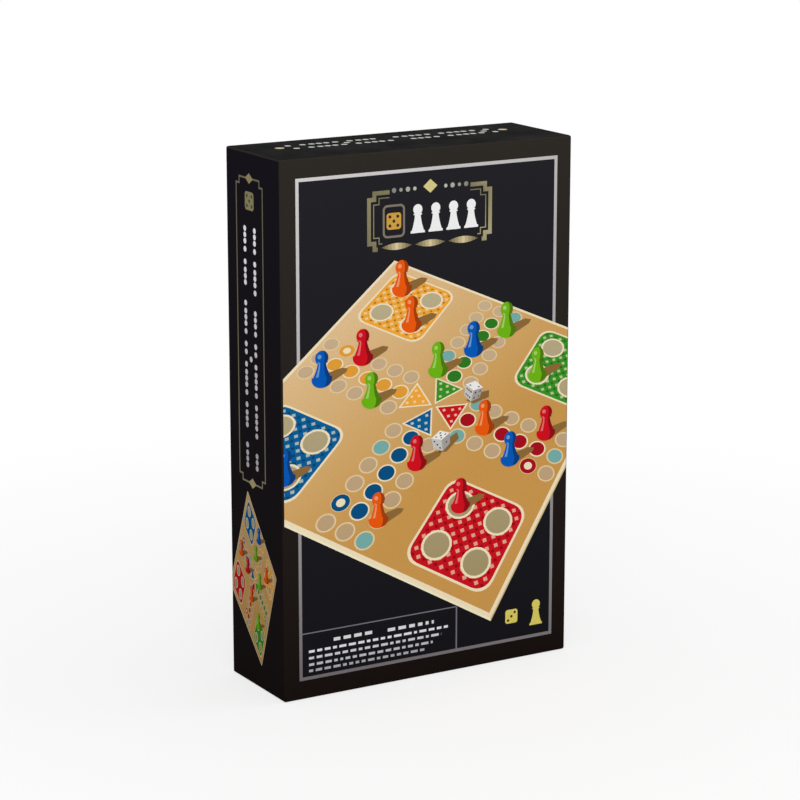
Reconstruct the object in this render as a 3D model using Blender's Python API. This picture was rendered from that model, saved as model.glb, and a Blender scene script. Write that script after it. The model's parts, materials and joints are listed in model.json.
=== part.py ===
"""Boxed board game: lift-off lid, base, moulded tray, folding board, rules leaflet, pawns and dice.

The box stands upright on a short end. Its printed front faces -Y, so the box is laid on its
back, +Y down, for play. X is the width, Z the height. Units are metres.
"""
import math

import bpy
import bmesh
from mathutils import Matrix, Vector

# Closed box
BOX_WIDTH = 0.166
BOX_DEPTH = 0.056
BOX_HEIGHT = 0.270
LID_WALL = 0.0015
LID_EDGE_RADIUS = 0.0009
LID_REVEAL = 0.0008
LID_HEADROOM = 0.0013
INNER_CORNER_SHARE = 0.5
LEAST_CORNER_SHARE = 0.25

# Base, which slides inside the lid
BASE_CLEARANCE = 0.0005
BASE_WALL = 0.0015
BASE_EDGE_RADIUS = 0.0008
SEAT_GAP = 0.0003

# Moulded tray
TRAY_CLEARANCE = 0.0005
TRAY_SHEET = 0.0008
TRAY_CORNER_RADIUS = 0.005
TRAY_EDGE_RADIUS = 0.0016
TRAY_DRAFT = math.radians(1.0)
FINGER_REACH = 0.008
FINGER_LENGTH = 0.026
FINGER_CORNER_RADIUS = 0.006
FINGER_DEPTH = 0.0125
BEAD_WIDTH = 0.005
BEAD_LENGTH = 0.084
BEAD_DEPTH = 0.0012

# Folding board
PANEL_WIDTH = 0.125
PANEL_HEIGHT = 0.250
PANEL_THICKNESS = 0.0020
PANEL_CORNER_RADIUS = 0.0012
PANEL_EDGE_RADIUS = 0.0003
RECESS_CLEARANCE = 0.0005
RECESS_CORNER_RADIUS = 0.0025

# Rules leaflet, one sheet folded in half and cut short of the base's walls
LEAFLET_SIDE_CLEARANCE = 0.0095
LEAFLET_END_CLEARANCE = 0.0315
LEAF_THICKNESS = 0.00035
LEAFLET_SLOT = 0.00030

# Pawns, as tall as the pockets allow
PAWN_BASE_RADIUS = 0.008
PAWN_RIM_HEIGHT = 0.0026
PAWN_RIM_SHARES = ((0.25, 0.0), (0.0, 0.25), (0.0, 0.75), (0.25, 1.0))
PAWN_WAIST_RADIUS = 0.0033
PAWN_COLLAR_RADIUS = 0.0047
PAWN_COLLAR_HEIGHT = 0.0016
PAWN_HEAD_RADIUS = 0.0051
PAWN_SPACING = 0.019
PAWN_FLARE_POWER = 1.6
PAWN_SIDES = 14
PAWN_HEAD_RINGS = 5
PAWN_FLARE_RINGS = 4

# Pawn pockets
POCKET_SIZE = 0.040
POCKET_CORNER_RADIUS = 0.006
POCKET_FILLET = 0.0015
POCKET_HEADROOM = 0.006
POCKET_STAND = 0.0101
POCKET_DRAFT = math.radians(3.0)
POCKET_OFFSET_X = 0.031
POCKET_OFFSET_Z = 0.072
COLOURS = ("red", "green", "orange", "blue")

# Dice and their pocket
DIE_SIZE = 0.016
DIE_EDGE_RADIUS = 0.0020
DIE_SPACING = 0.0175
PIP_RADIUS = 0.0015
PIP_DEPTH = 0.0006
PIP_SPACING = 0.0042
PIP_SIDES = 10
PIP_RINGS = 8
DICE_POCKET_LENGTH = 0.062
DICE_POCKET_WIDTH = 0.021
DICE_POCKET_HEADROOM = 0.0012

# One overrun takes every cut clear of the face it starts from
OVERRUN = 0.004
CORNER_STEPS = 4
EDGE_STEPS = 2
SMOOTH_ANGLE = math.radians(40)

PIP_PLACE_SHARES = {
    1: ((0, 0),),
    2: ((-1, -1), (1, 1)),
    3: ((-1, -1), (0, 0), (1, 1)),
    4: ((-1, -1), (-1, 1), (1, -1), (1, 1)),
    5: ((-1, -1), (-1, 1), (0, 0), (1, -1), (1, 1)),
    6: ((-1, -1), (-1, 0), (-1, 1), (1, -1), (1, 0), (1, 1)),
}

# Places along the depth, worked out from the front to the back
LID_FRONT = -BOX_DEPTH / 2
LID_PANEL_BACK = LID_FRONT + LID_WALL
BASE_RIM = LID_PANEL_BACK + SEAT_GAP
BASE_BACK = BOX_DEPTH / 2
BASE_FLOOR = BASE_BACK - BASE_WALL
LID_RIM = BASE_BACK - LID_REVEAL
LEAFLET_THICKNESS = 2 * LEAF_THICKNESS + LEAFLET_SLOT
LEAFLET_FRONT = LID_PANEL_BACK + LID_HEADROOM
LEAFLET_BACK = LEAFLET_FRONT + LEAFLET_THICKNESS
DECK = LEAFLET_BACK + SEAT_GAP
UPPER_FRONT = DECK + SEAT_GAP
UPPER_BACK = UPPER_FRONT + PANEL_THICKNESS
LOWER_FRONT = UPPER_BACK + SEAT_GAP
LOWER_BACK = LOWER_FRONT + PANEL_THICKNESS
RECESS_FLOOR = LOWER_BACK + SEAT_GAP
TRAY_FOOT = BASE_FLOOR - SEAT_GAP
POCKET_FLOOR = TRAY_FOOT - POCKET_STAND - TRAY_SHEET
PAWN_HEIGHT = POCKET_FLOOR - SEAT_GAP - POCKET_HEADROOM - RECESS_FLOOR
DICE_FLOOR = RECESS_FLOOR + DICE_POCKET_HEADROOM + DIE_SIZE + SEAT_GAP

# Widths and heights, worked out from the outside inwards
BASE_WIDTH = BOX_WIDTH - 2 * (LID_WALL + BASE_CLEARANCE)
BASE_HEIGHT = BOX_HEIGHT - 2 * (LID_WALL + BASE_CLEARANCE)
TRAY_WIDTH = BASE_WIDTH - 2 * (BASE_WALL + TRAY_CLEARANCE)
TRAY_HEIGHT = BASE_HEIGHT - 2 * (BASE_WALL + TRAY_CLEARANCE)
LEAFLET_WIDTH = BASE_WIDTH - 2 * (BASE_WALL + LEAFLET_SIDE_CLEARANCE)
LEAFLET_HEIGHT = BASE_HEIGHT - 2 * (BASE_WALL + LEAFLET_END_CLEARANCE)
RECESS_WIDTH = PANEL_WIDTH + 2 * RECESS_CLEARANCE
RECESS_HEIGHT = PANEL_HEIGHT + 2 * RECESS_CLEARANCE
MIDDLE = BOX_HEIGHT / 2


def clear_scene():
    for old in list(bpy.data.objects):
        bpy.data.objects.remove(old, do_unlink=True)


def principled(name, colour, roughness, metallic=0.0):
    material = bpy.data.materials.new(name)
    material.use_nodes = True
    shader = material.node_tree.nodes["Principled BSDF"]
    shader.inputs["Base Color"].default_value = (*colour, 1.0)
    shader.inputs["Roughness"].default_value = roughness
    shader.inputs["Metallic"].default_value = metallic
    return material


def make_object(name, mesh_data, material, origin=(0.0, 0.0, 0.0)):
    """Turn a bmesh drawn in world space into an object whose origin is at the given point."""
    bmesh.ops.recalc_face_normals(mesh_data, faces=mesh_data.faces)
    bmesh.ops.translate(mesh_data, vec=-Vector(origin), verts=mesh_data.verts)
    mesh = bpy.data.meshes.new(name)
    mesh_data.to_mesh(mesh)
    mesh_data.free()
    thing = bpy.data.objects.new(name, mesh)
    thing.location = origin
    bpy.context.scene.collection.objects.link(thing)
    if material:
        mesh.materials.append(material)
    return thing


def rounded_outline(width, height, radius, centre=(0.0, 0.0), steps=CORNER_STEPS):
    """Points round a rectangle with quarter-circle corners, in X and Z."""
    points = []
    corners = ((1, 1, 0.0), (-1, 1, 0.25), (-1, -1, 0.5), (1, -1, 0.75))
    for side_x, side_z, turn in corners:
        for step in range(steps + 1):
            angle = 2 * math.pi * (turn + 0.25 * step / steps)
            x = side_x * (width / 2 - radius) + radius * math.cos(angle)
            z = side_z * (height / 2 - radius) + radius * math.sin(angle)
            points.append((centre[0] + x, centre[1] + z))
    return points


def loft(sections):
    """A closed skin through outlines of equal count, each given with its place along Y."""
    mesh_data = bmesh.new()
    rings = []
    for outline, y in sections:
        rings.append([mesh_data.verts.new((x, y, z)) for x, z in outline])
    for ring, following in zip(rings, rings[1:]):
        count = len(ring)
        for i in range(count):
            j = (i + 1) % count
            mesh_data.faces.new((ring[i], ring[j], following[j], following[i]))
    mesh_data.faces.new(rings[0])
    mesh_data.faces.new(reversed(rings[-1]))
    return mesh_data


def smooth(thing):
    thing.data.shade_smooth()
    thing.data.set_sharp_from_angle(angle=SMOOTH_ANGLE)


def cut(target, cutter):
    """Take the cutter's shape out of the target with an exact Boolean."""
    modifier = target.modifiers.new("cut_" + cutter.name, "BOOLEAN")
    modifier.operation = "DIFFERENCE"
    modifier.solver = "EXACT"
    modifier.object = cutter
    cutter.hide_render = True
    cutter.display_type = "WIRE"


def box_shell(width, height, wall, radius, closed_face, closed_inner, rim):
    """An open box drawn as one skin: outside from the closed face to the rim, then back inside."""
    inward = 1 if rim > closed_face else -1
    sections = []
    for step in range(EDGE_STEPS + 1):
        angle = math.pi / 2 * step / EDGE_STEPS
        inset = radius * (1 - math.sin(angle))
        corner = max(radius - inset, radius * LEAST_CORNER_SHARE)
        outline = rounded_outline(width - 2 * inset, height - 2 * inset, corner, (0, MIDDLE))
        sections.append((outline, closed_face + inward * radius * (1 - math.cos(angle))))
    full = rounded_outline(width, height, radius, (0, MIDDLE))
    inner = rounded_outline(width - 2 * wall, height - 2 * wall, radius * INNER_CORNER_SHARE,
                            (0, MIDDLE))
    sections.append((full, rim))
    sections.append((inner, rim))
    sections.append((inner, closed_inner))
    return loft(sections)


def make_lid():
    material = principled("black_print", (0.016, 0.015, 0.016), 0.38)
    shell = box_shell(BOX_WIDTH, BOX_HEIGHT, LID_WALL, LID_EDGE_RADIUS,
                      LID_FRONT, LID_PANEL_BACK, LID_RIM)
    smooth(make_object("lid", shell, material, (0, LID_FRONT, MIDDLE)))


def make_base():
    material = principled("black_wrap", (0.014, 0.014, 0.015), 0.5)
    shell = box_shell(BASE_WIDTH, BASE_HEIGHT, BASE_WALL, BASE_EDGE_RADIUS,
                      BASE_BACK, BASE_FLOOR, BASE_RIM)
    smooth(make_object("base", shell, material))


def tray_block(inset, front, back):
    """The tray's outer form, drawn in by a sheet thickness for its hollow underside."""
    sections = []
    for step in range(EDGE_STEPS + 1):
        angle = math.pi / 2 * step / EDGE_STEPS
        edge = TRAY_EDGE_RADIUS * (1 - math.sin(angle))
        y = front + TRAY_EDGE_RADIUS * (1 - math.cos(angle))
        sections.append((tray_outline(inset + edge, y), y))
    sections.append((tray_outline(inset, back), back))
    return loft(sections)


def tray_outline(inset, y):
    """The tray's skirt spreads towards its foot by the mould's draft."""
    drawn_in = inset + (TRAY_FOOT - y) * math.tan(TRAY_DRAFT)
    return rounded_outline(TRAY_WIDTH - 2 * drawn_in, TRAY_HEIGHT - 2 * drawn_in,
                           TRAY_CORNER_RADIUS - inset, (0, MIDDLE))


def pocket_form(width, height, corner, floor, centre, draft, fillet, grow):
    """A drafted pocket with a rounded floor edge, grown by a sheet thickness for its underside."""
    depth = floor + grow
    top = DECK - OVERRUN
    sections = []
    for step in range(EDGE_STEPS + 1):
        angle = math.pi / 2 * step / EDGE_STEPS
        inset = (fillet + grow) * (1 - math.sin(angle))
        y = depth - (fillet + grow) * (1 - math.cos(angle))
        sections.append((pocket_outline(width, height, corner, centre, grow - inset), y))
    spread = (depth - top) * math.tan(draft)
    sections.append((pocket_outline(width, height, corner, centre, grow + spread), top))
    return loft(sections)


def pocket_outline(width, height, corner, centre, grow):
    return rounded_outline(width + 2 * grow, height + 2 * grow, corner + grow, centre)


def tray_cavities(grow):
    """Everything pressed into the tray: board recess, finger notches, pockets and beads."""
    recess = rounded_outline(RECESS_WIDTH + 2 * grow, RECESS_HEIGHT + 2 * grow,
                             RECESS_CORNER_RADIUS + grow, (0, MIDDLE))
    forms = {"recess": loft([(recess, DECK - OVERRUN), (recess, RECESS_FLOOR + grow)])}
    for side in (-1, 1):
        centre = (side * RECESS_WIDTH / 2, MIDDLE)
        outline = rounded_outline(2 * (FINGER_REACH + grow), FINGER_LENGTH + 2 * grow,
                                  FINGER_CORNER_RADIUS + grow, centre)
        finger_floor = DECK + FINGER_DEPTH + grow
        forms[f"finger_{side}"] = loft([(outline, DECK - OVERRUN), (outline, finger_floor)])
        for end in (-1, 1):
            pocket_centre = (side * POCKET_OFFSET_X, MIDDLE + end * POCKET_OFFSET_Z)
            forms[f"pocket_{side}_{end}"] = pocket_form(
                POCKET_SIZE, POCKET_SIZE, POCKET_CORNER_RADIUS, POCKET_FLOOR,
                pocket_centre, POCKET_DRAFT, POCKET_FILLET, grow)
    forms["dice"] = pocket_form(DICE_POCKET_LENGTH, DICE_POCKET_WIDTH, POCKET_CORNER_RADIUS,
                                DICE_FLOOR, (0, MIDDLE), POCKET_DRAFT, POCKET_FILLET, grow)
    for number, z in enumerate(bead_places()):
        outline = rounded_outline(BEAD_LENGTH + 2 * grow, BEAD_WIDTH + 2 * grow,
                                  BEAD_WIDTH / 2 + grow, (0, z))
        bead_floor = RECESS_FLOOR + BEAD_DEPTH + grow
        forms[f"bead_{number}"] = loft([(outline, DECK - OVERRUN), (outline, bead_floor)])
    return forms


def bead_places():
    """Stiffening beads lie halfway along the plain stretches of the recess floor."""
    pocket_mouth = POCKET_SIZE / 2 + (POCKET_FLOOR - RECESS_FLOOR) * math.tan(POCKET_DRAFT)
    end = (POCKET_OFFSET_Z + pocket_mouth + RECESS_HEIGHT / 2) / 2
    inner = (POCKET_OFFSET_Z - pocket_mouth + DICE_POCKET_WIDTH / 2) / 2
    return [MIDDLE + share * place for place in (end, inner) for share in (-1, 1)]


def make_insert():
    """A vacuum-formed sheet: the upper side's form less the same form moved in by the sheet."""
    material = principled("black_plastic_tray", (0.02, 0.02, 0.021), 0.42)
    tray = make_object("insert", tray_block(0, DECK, TRAY_FOOT), material)
    hollow = make_object("insert_hollow", tray_block(TRAY_SHEET, DECK + TRAY_SHEET,
                                                     TRAY_FOOT + OVERRUN), None)
    for target, grow in ((tray, 0.0), (hollow, TRAY_SHEET)):
        for name, form in tray_cavities(grow).items():
            cut(target, make_object(f"{target.name}_{name}", form, None))
    cut(tray, hollow)
    smooth(tray)


def panel_form(front, back, fold_x):
    """One half of the board, its edges eased, with a hair's gap beside the fold."""
    centre_x = fold_x + SEAT_GAP / 2 + PANEL_WIDTH / 2
    middle = (centre_x, MIDDLE)
    eased = PANEL_EDGE_RADIUS
    width = PANEL_WIDTH - SEAT_GAP
    full = rounded_outline(width, PANEL_HEIGHT, PANEL_CORNER_RADIUS, middle, EDGE_STEPS)
    inner = rounded_outline(width - 2 * eased, PANEL_HEIGHT - 2 * eased,
                            PANEL_CORNER_RADIUS - eased, middle, EDGE_STEPS)
    return loft([(inner, front), (full, front + eased), (full, back - eased), (inner, back)])


def make_board():
    """Two panels that lie print to print and open about the crease between them."""
    material = principled("board_print", (0.62, 0.46, 0.2), 0.45)
    fold_x = -PANEL_WIDTH / 2
    crease = (UPPER_BACK + LOWER_FRONT) / 2
    make_object("board_lower", panel_form(LOWER_FRONT, LOWER_BACK, fold_x), material)
    make_object("board_upper", panel_form(UPPER_FRONT, UPPER_BACK, fold_x), material,
                (fold_x, crease, MIDDLE))


def make_leaflet():
    """A sheet folded once, its two leaves held a slot apart beyond the fold."""
    material = principled("leaflet_paper", (0.8, 0.78, 0.72), 0.7)
    fold_x = -LEAFLET_WIDTH / 2
    free_x = LEAFLET_WIDTH / 2
    slot_front = LEAFLET_FRONT + LEAF_THICKNESS
    slot_back = LEAFLET_BACK - LEAF_THICKNESS
    outline = [(free_x, LEAFLET_BACK)]
    outline += fold_arc(fold_x, LEAFLET_BACK, LEAFLET_FRONT)
    outline += [(free_x, LEAFLET_FRONT), (free_x, slot_front)]
    outline += reversed(fold_arc(fold_x + LEAF_THICKNESS, slot_back, slot_front))
    outline += [(free_x, slot_back)]
    mesh_data = bmesh.new()
    low = MIDDLE - LEAFLET_HEIGHT / 2
    face = mesh_data.faces.new([mesh_data.verts.new((x, y, low)) for x, y in outline])
    grown = bmesh.ops.extrude_face_region(mesh_data, geom=[face])
    raised = [item for item in grown["geom"] if isinstance(item, bmesh.types.BMVert)]
    bmesh.ops.translate(mesh_data, vec=(0, 0, LEAFLET_HEIGHT), verts=raised)
    make_object("leaflet", mesh_data, material)


def fold_arc(edge_x, back, front):
    """A half circle from the back leaf to the front leaf, bulging towards -X."""
    radius = (back - front) / 2
    middle = (back + front) / 2
    steps = 2 * EDGE_STEPS
    points = []
    for step in range(steps + 1):
        angle = math.pi * step / steps
        points.append((edge_x + radius - radius * math.sin(angle),
                       middle + radius * math.cos(angle)))
    return points


def pawn_profile():
    """Radius and height up a pawn: rolled foot, flared skirt, collar and ball head."""
    points = [(PAWN_BASE_RADIUS - inset * PAWN_RIM_HEIGHT, rise * PAWN_RIM_HEIGHT)
              for inset, rise in PAWN_RIM_SHARES]
    head_centre = PAWN_HEIGHT - PAWN_HEAD_RADIUS
    drop = math.sqrt(PAWN_HEAD_RADIUS ** 2 - PAWN_WAIST_RADIUS ** 2)
    neck = head_centre - drop
    collar_bottom = neck - PAWN_COLLAR_HEIGHT
    start = PAWN_BASE_RADIUS - PAWN_RIM_HEIGHT / 2
    for step in range(PAWN_FLARE_RINGS + 1):
        share = step / PAWN_FLARE_RINGS
        radius = PAWN_WAIST_RADIUS + (start - PAWN_WAIST_RADIUS) * (1 - share) ** PAWN_FLARE_POWER
        points.append((radius, PAWN_RIM_HEIGHT + (collar_bottom - PAWN_RIM_HEIGHT) * share))
    middle = (collar_bottom + neck) / 2
    points.append((PAWN_COLLAR_RADIUS, middle))
    start_angle = math.asin(-drop / PAWN_HEAD_RADIUS)
    for step in range(PAWN_HEAD_RINGS):
        angle = start_angle + (math.pi / 2 - start_angle) * step / PAWN_HEAD_RINGS
        points.append((PAWN_HEAD_RADIUS * math.cos(angle),
                       head_centre + PAWN_HEAD_RADIUS * math.sin(angle)))
    return points


def pawn_mesh():
    """A turned pawn standing along -Y, with its foot at the origin."""
    mesh_data = bmesh.new()
    rings = []
    for radius, height in pawn_profile():
        ring = []
        for side in range(PAWN_SIDES):
            angle = 2 * math.pi * side / PAWN_SIDES
            ring.append(mesh_data.verts.new((radius * math.cos(angle), -height,
                                             radius * math.sin(angle))))
        rings.append(ring)
    for ring, following in zip(rings, rings[1:]):
        for i in range(PAWN_SIDES):
            j = (i + 1) % PAWN_SIDES
            mesh_data.faces.new((ring[i], ring[j], following[j], following[i]))
    mesh_data.faces.new(rings[0])
    crown = mesh_data.verts.new((0, -PAWN_HEIGHT, 0))
    for i in range(PAWN_SIDES):
        mesh_data.faces.new((rings[-1][i], rings[-1][(i + 1) % PAWN_SIDES], crown))
    bmesh.ops.recalc_face_normals(mesh_data, faces=mesh_data.faces)
    mesh = bpy.data.meshes.new("pawn")
    mesh_data.to_mesh(mesh)
    mesh_data.free()
    mesh.shade_smooth()
    mesh.set_sharp_from_angle(angle=SMOOTH_ANGLE)
    return mesh


def make_pawns():
    """Four pawns of each colour, standing two by two in that colour's pocket."""
    paints = {"red": (0.62, 0.01, 0.01), "green": (0.15, 0.35, 0.01),
              "orange": (0.86, 0.15, 0.02), "blue": (0.0, 0.1, 0.32)}
    corners = [(x, z) for x in (-1, 1) for z in (-1, 1)]
    for colour, (side, end) in zip(COLOURS, corners):
        mesh = pawn_mesh()
        mesh.materials.append(principled(f"{colour}_plastic", paints[colour], 0.25))
        for number, (x, z) in enumerate(corners, start=1):
            pawn = bpy.data.objects.new(f"pawn_{colour}_{number}", mesh)
            pawn.location = (side * POCKET_OFFSET_X + x * PAWN_SPACING / 2,
                             POCKET_FLOOR - SEAT_GAP,
                             MIDDLE + end * POCKET_OFFSET_Z + z * PAWN_SPACING / 2)
            bpy.context.scene.collection.objects.link(pawn)


def pip_cutter(name, turns):
    """Shallow round pips on the six faces, opposite faces adding up to seven."""
    ball_radius = (PIP_RADIUS ** 2 + PIP_DEPTH ** 2) / (2 * PIP_DEPTH)
    mesh_data = bmesh.new()
    for number, places in PIP_PLACE_SHARES.items():
        for across, along in places:
            place = Matrix.Translation((across * PIP_SPACING, along * PIP_SPACING,
                                        DIE_SIZE / 2 + ball_radius - PIP_DEPTH))
            bmesh.ops.create_uvsphere(mesh_data, u_segments=PIP_SIDES, v_segments=PIP_RINGS,
                                      radius=ball_radius, matrix=turns[number] @ place)
    return make_object(name, mesh_data, None)


def make_die(name, centre, turn):
    body = bmesh.new()
    bmesh.ops.create_cube(body, size=DIE_SIZE)
    bmesh.ops.bevel(body, geom=body.edges[:], offset=DIE_EDGE_RADIUS, segments=EDGE_STEPS,
                    affect="EDGES", profile=0.5)
    ivory = principled(f"{name}_ivory", (0.78, 0.77, 0.73), 0.3)
    die = make_object(name, body, ivory)
    quarter = math.pi / 2
    turns = {1: Matrix(), 6: Matrix.Rotation(2 * quarter, 4, "X"),
             2: Matrix.Rotation(quarter, 4, "X"), 5: Matrix.Rotation(-quarter, 4, "X"),
             3: Matrix.Rotation(quarter, 4, "Y"), 4: Matrix.Rotation(-quarter, 4, "Y")}
    cutter = pip_cutter(f"{name}_pips", turns)
    for piece in (die, cutter):
        piece.location = centre
        piece.rotation_euler = turn
    cut(die, cutter)


def make_dice():
    depth = DICE_FLOOR - SEAT_GAP - DIE_SIZE / 2
    quarter = math.pi / 2
    make_die("die_1", (-DIE_SPACING / 2, depth, MIDDLE), (quarter, 0, 0))
    make_die("die_2", (DIE_SPACING / 2, depth, MIDDLE), (0, quarter, 0))


def main():
    clear_scene()
    make_lid()
    make_base()
    make_insert()
    make_board()
    make_leaflet()
    make_pawns()
    make_dice()


main()
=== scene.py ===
import json
import math
import random

import bpy
import bmesh
import numpy as np
from mathutils import Matrix, Vector


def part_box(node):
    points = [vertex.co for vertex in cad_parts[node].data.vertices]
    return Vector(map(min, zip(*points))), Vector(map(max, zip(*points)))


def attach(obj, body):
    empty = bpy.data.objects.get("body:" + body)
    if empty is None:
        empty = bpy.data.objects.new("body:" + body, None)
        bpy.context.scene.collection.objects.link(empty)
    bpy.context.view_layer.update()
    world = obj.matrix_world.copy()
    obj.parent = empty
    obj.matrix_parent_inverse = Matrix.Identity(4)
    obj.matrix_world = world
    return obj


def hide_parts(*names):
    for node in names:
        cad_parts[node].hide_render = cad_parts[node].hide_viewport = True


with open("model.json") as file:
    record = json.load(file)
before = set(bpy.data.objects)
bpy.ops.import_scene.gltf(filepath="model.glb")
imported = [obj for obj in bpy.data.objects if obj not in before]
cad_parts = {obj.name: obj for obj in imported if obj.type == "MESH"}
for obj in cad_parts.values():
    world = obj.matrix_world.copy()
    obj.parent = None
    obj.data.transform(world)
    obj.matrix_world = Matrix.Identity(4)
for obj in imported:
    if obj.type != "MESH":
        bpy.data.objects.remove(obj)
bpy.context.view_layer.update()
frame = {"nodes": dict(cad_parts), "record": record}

# The dressed box: printed lid and base, tray, board, leaflet, pawns and dice.
# Lengths are metres. Print is laid as thin closed plates of ink on the faces of the pieces.

MM = 0.001
INK = 0.012 * MM
SKIN = 0.2 * MM
SAME_PLACE = 1e-6
NO_LENGTH = 1e-9
MITRE_LIMIT = 0.4


def mm(*values):
    return tuple(value * MM for value in values)


def node_box(name):
    low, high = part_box(name)
    return Vector(low), Vector(high)


LID_LOW, LID_HIGH = node_box("lid")
BASE_LOW, BASE_HIGH = node_box("base")
WIDTH = LID_HIGH.x - LID_LOW.x
HEIGHT = LID_HIGH.z - LID_LOW.z
MIDDLE_Z = (LID_LOW.z + LID_HIGH.z) / 2


# Colours

def linear(value):
    """One channel of a screen colour, 0 to 255, as linear light by the sRGB curve."""
    share = value / 255
    return share / 12.92 if share <= 0.04045 else ((share + 0.055) / 1.055) ** 2.4


def colour(red, green, blue):
    """A screen colour, 0 to 255, as Blender's linear light."""
    return (linear(red), linear(green), linear(blue))


def mix(first, second, share):
    return tuple(a + (b - a) * share for a, b in zip(first, second))


# Painted light and shade: the front panel's black is printed lighter at the top and darker at the
# foot.
BLACK_LIT_TO_SHADED = ((38, 37, 42), (25, 24, 28))
# Painted light and shade: the lid's border is printed lighter at the top and darker at the foot.
BORDER_LIT_TO_SHADED = ((49, 45, 41), (27, 20, 18))
# Painted light and shade: the long sides are printed a little lighter at the top and darker at the
# foot.
SPINE_LIT_TO_SHADED = ((26, 24, 31), (24, 19, 19))
TAN_LIGHT = (220, 182, 122)
TAN_PALE = (234, 200, 152)
TAN_DEEP = (208, 156, 82)
CREAM = (248, 232, 196)
TRACK_RUN = ((212, 186, 152), (188, 156, 116))
SAFE_DOT = (122, 178, 172)
YARD_RUN = ((198, 184, 148), (164, 148, 106))
RED = (206, 22, 34)
GREEN = (58, 150, 40)
ORANGE = (248, 172, 60)
BLUE = (12, 98, 156)
PAWN_TONES = {"red": (214, 20, 34), "green": (112, 186, 24), "orange": (242, 92, 18),
              "blue": (10, 92, 190)}
YARDS = (GREEN, ORANGE, BLUE, RED)


# Materials

def feed(tree, node, inputs):
    """Set a node's inputs, each by a plain value, a node's first output or a named output."""
    for name, value in inputs.items():
        if isinstance(value, bpy.types.Node):
            value = value.outputs[0]
        if isinstance(value, bpy.types.NodeSocket):
            tree.links.new(value, node.inputs[name])
        else:
            node.inputs[name].default_value = value


def add_node(tree, kind, inputs, operation=None):
    node = tree.nodes.new("ShaderNode" + kind)
    if operation:
        node.operation = operation
    feed(tree, node, inputs)
    return node


def new_material(name):
    material = bpy.data.materials.new(name)
    material.use_nodes = True
    tree = material.node_tree
    tree.nodes.clear()
    shader = add_node(tree, "BsdfPrincipled", {})
    add_node(tree, "OutputMaterial", {"Surface": shader})
    return material, tree, shader


def noise(tree, scale, detail, stretch=(1, 1, 1)):
    """Noise in the piece's own space, so that it moves with the piece; scale is in 1/m."""
    place = add_node(tree, "TexCoord", {}).outputs["Object"]
    mapping = add_node(tree, "Mapping", {"Vector": place, "Scale": stretch})
    return add_node(tree, "TexNoise", {"Vector": mapping, "Scale": scale, "Detail": detail})


NOISE_RANGE = (0.3, 0.7)


def spread(tree, source, low, high):
    """Map a noise value to a range."""
    return add_node(tree, "MapRange", {"Value": source, "From Min": NOISE_RANGE[0],
                                       "From Max": NOISE_RANGE[1], "To Min": low, "To Max": high})


def shade(tree, source, base, darkest, lightest):
    """Multiply a colour, plain or from a node, by a noise-driven brightness."""
    factor = spread(tree, source, darkest, lightest)
    return add_node(tree, "VectorMath", {0: base, "Scale": factor}, "SCALE")


def bump(tree, source, distance, strength):
    return add_node(tree, "Bump", {"Strength": strength, "Distance": distance, "Height": source})


INK_GRAIN = 1400
LAMINATE_GRAIN = 420
GLOSS_PATCHES = 60
FLOW_MARKS = 90
MOULD_GRAIN = 260
FAINT_RELIEF = 0.01 * MM


def finish_print(name, rough_low, rough_high, specular, metallic=0.0, grain=0.1):
    """Ink under laminate or foil: colour from the plates, fine paper grain in gloss and relief."""
    material, tree, shader = new_material(name)
    ink = add_node(tree, "Attribute", {})
    ink.attribute_name = "ink"
    fine = noise(tree, INK_GRAIN, 2)
    broad = noise(tree, GLOSS_PATCHES, 4)
    feed(tree, shader, {
        "Base Color": shade(tree, fine, ink, 1 - grain, 1 + grain),
        "Roughness": spread(tree, broad, rough_low, rough_high),
        "Specular IOR Level": specular,
        "Metallic": metallic,
        "Normal": bump(tree, noise(tree, LAMINATE_GRAIN, 3), FAINT_RELIEF, 0.5)})
    return material


def finish_plain(name, base, rough_low, rough_high, specular, relief, scale, darkest=0.85,
                 lightest=1.15):
    """Paper or sheet plastic of one colour, with an even grain."""
    material, tree, shader = new_material(name)
    broad = noise(tree, scale / 6, 4)
    fine = noise(tree, scale, 3)
    feed(tree, shader, {
        "Base Color": shade(tree, fine, base, darkest, lightest),
        "Roughness": spread(tree, broad, rough_low, rough_high),
        "Specular IOR Level": specular,
        "Normal": bump(tree, fine, relief, 0.6)})
    return material


def plastic(name, tone):
    """Glossy moulded plastic with faint flow marks."""
    material, tree, shader = new_material(name)
    flow = noise(tree, FLOW_MARKS, 4, (1, 0.3, 1))
    feed(tree, shader, {
        "Base Color": shade(tree, flow, colour(*tone), 0.93, 1.06),
        "Roughness": spread(tree, flow, 0.16, 0.28),
        "Specular IOR Level": 0.5,
        "Coat Weight": 0.25,
        "Coat Roughness": 0.12,
        "Normal": bump(tree, noise(tree, MOULD_GRAIN, 3), FAINT_RELIEF, 0.4)})
    return material


PRINT = finish_print("laminated_print", 0.36, 0.48, 0.001, grain=0.05)
GOLD_FOIL = finish_print("gold_foil", 0.26, 0.4, 0.5, 0.6, 0.12)
BOARD_INK = finish_print("board_varnish", 0.38, 0.5, 0.3, grain=0.05)
LEAFLET_INK = finish_print("leaflet_ink", 0.6, 0.75, 0.2, grain=0.06)
LAMINATE = finish_print("black_laminate", 0.38, 0.5, 0.001, grain=0.08)
LINING = finish_plain("lining_paper", colour(222, 219, 210), 0.7, 0.85, 0.3, 0.02 * MM, 700,
                      0.94, 1.04)
WRAP = finish_plain("black_wrap_paper", colour(27, 26, 27), 0.45, 0.6, 0.03, 0.015 * MM, 800)
TRAY_PLASTIC = finish_plain("formed_plastic", colour(33, 33, 35), 0.36, 0.5, 0.45, 0.03 * MM,
                            520, 0.9, 1.1)
PAPER = finish_plain("leaflet_stock", colour(238, 234, 222), 0.75, 0.88, 0.25, 0.02 * MM, 900,
                     0.96, 1.03)


# Mesh helpers

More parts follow.
